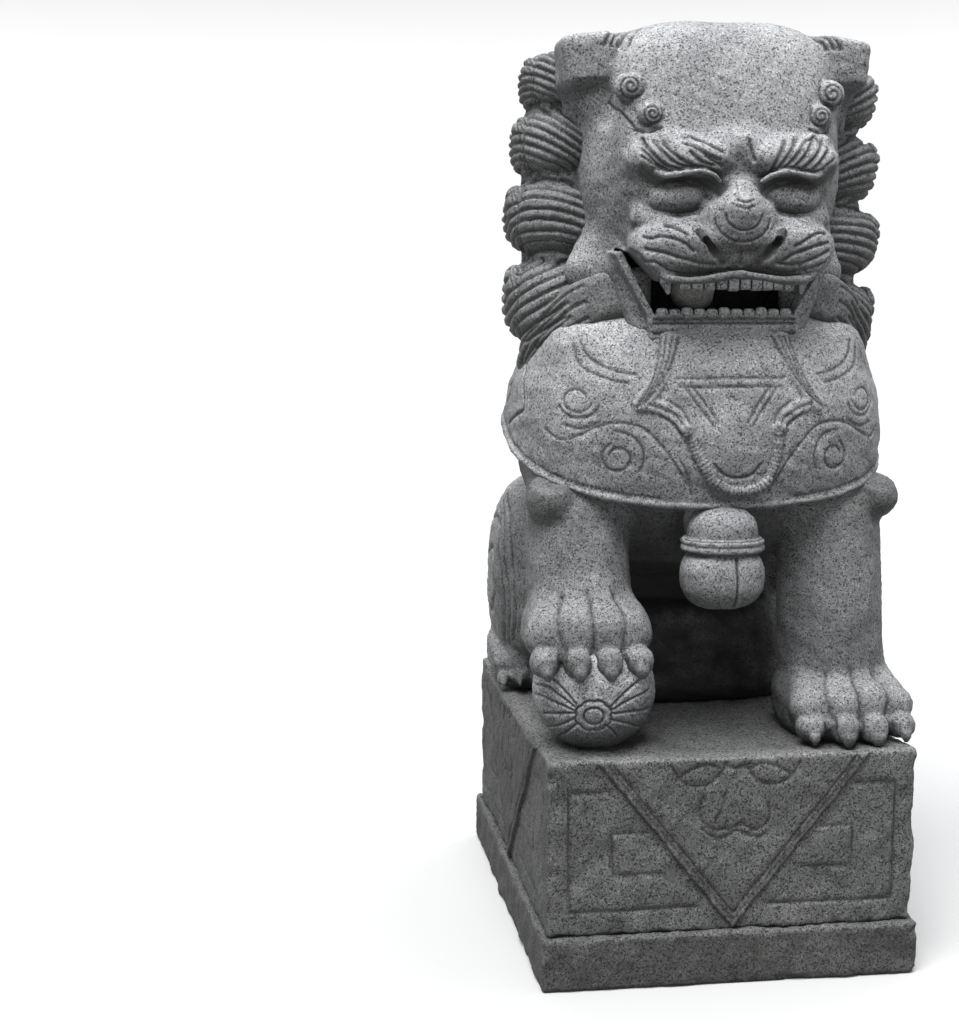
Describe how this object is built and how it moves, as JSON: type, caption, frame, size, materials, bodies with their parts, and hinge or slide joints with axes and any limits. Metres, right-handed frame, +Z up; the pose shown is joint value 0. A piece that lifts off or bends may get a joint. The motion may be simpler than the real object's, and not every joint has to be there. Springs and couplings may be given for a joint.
{
  "type": "guardian lion statue",
  "caption": "Seated guardian lion carved in grey granite on a draped pedestal, one forepaw on a brocade ball and a loose stone ball captive in its open mouth.",
  "frame": {"origin": "centre of the plinth's underside, on the ground", "axes": "+Z up; the lion looks along -Y; its own right side, with the brocade ball, is at -X"},
  "size_m": [0.6, 0.76, 1.48],
  "materials": {
    "granite_lion": "fine-chiselled speckled grey granite, matt",
    "granite_base": "bush-hammered speckled grey granite, matt, a little darker with weathering",
    "granite_loose_ball": "speckled grey granite, rubbed smooth"
  },
  "bodies": {
    "statue": {"apron_back": "granite_base", "apron_front": "granite_base", "apron_left": "granite_base", "apron_right": "granite_base", "bell": "granite_lion", "bell_band": "granite_lion", "breast_cloth": "granite_lion", "brocade_ball": "granite_lion", "brow_curls_left": "granite_lion", "brow_curls_right": "granite_lion", "brow_left": "granite_lion", "brow_right": "granite_lion", "chest": "granite_lion", "cloth_mask": "granite_lion", "collar_ribbon_left": "granite_lion", "collar_ribbon_right": "granite_lion", "cranium": "granite_lion", "ear_left": "granite_lion", "ear_right": "granite_lion", "eye_left": "granite_lion", "eye_right": "granite_lion", "fangs": "granite_lion", "foreleg_left": "granite_lion", "foreleg_right": "granite_lion", "forepaw_left": "granite_lion", "forepaw_right": "granite_lion", "haunch_left": "granite_lion", "haunch_right": "granite_lion", "hind_foot_left": "granite_lion", "hind_foot_right": "granite_lion", "hindquarters": "granite_lion", "lower_jaw": "granite_lion", "lower_teeth": "granite_lion", "mane_back": "granite_lion", "mane_back_curls": "granite_lion", "mane_lock_1_left": "granite_lion", "mane_lock_1_right": "granite_lion", "mane_lock_2_left": "granite_lion", "mane_lock_2_right": "granite_lion", "mane_lock_3_left": "granite_lion", "mane_lock_3_right": "granite_lion", "mane_lock_4_left": "granite_lion", "mane_lock_4_right": "granite_lion", "muzzle": "granite_lion", "neck": "granite_lion", "nose": "granite_lion", "pedestal_block": "granite_base", "plinth_course": "granite_base", "tail": "granite_lion", "throat": "granite_lion", "upper_teeth": "granite_lion"},
    "mouth_ball": {"mouth_ball": "granite_loose_ball"}
  },
  "joints": [
    {"name": "mouth_ball_roll", "type": "slide", "parent": "statue", "child": "mouth_ball", "axis": [1, 0, 0], "range_m": [0, 0.088]}
  ]
}
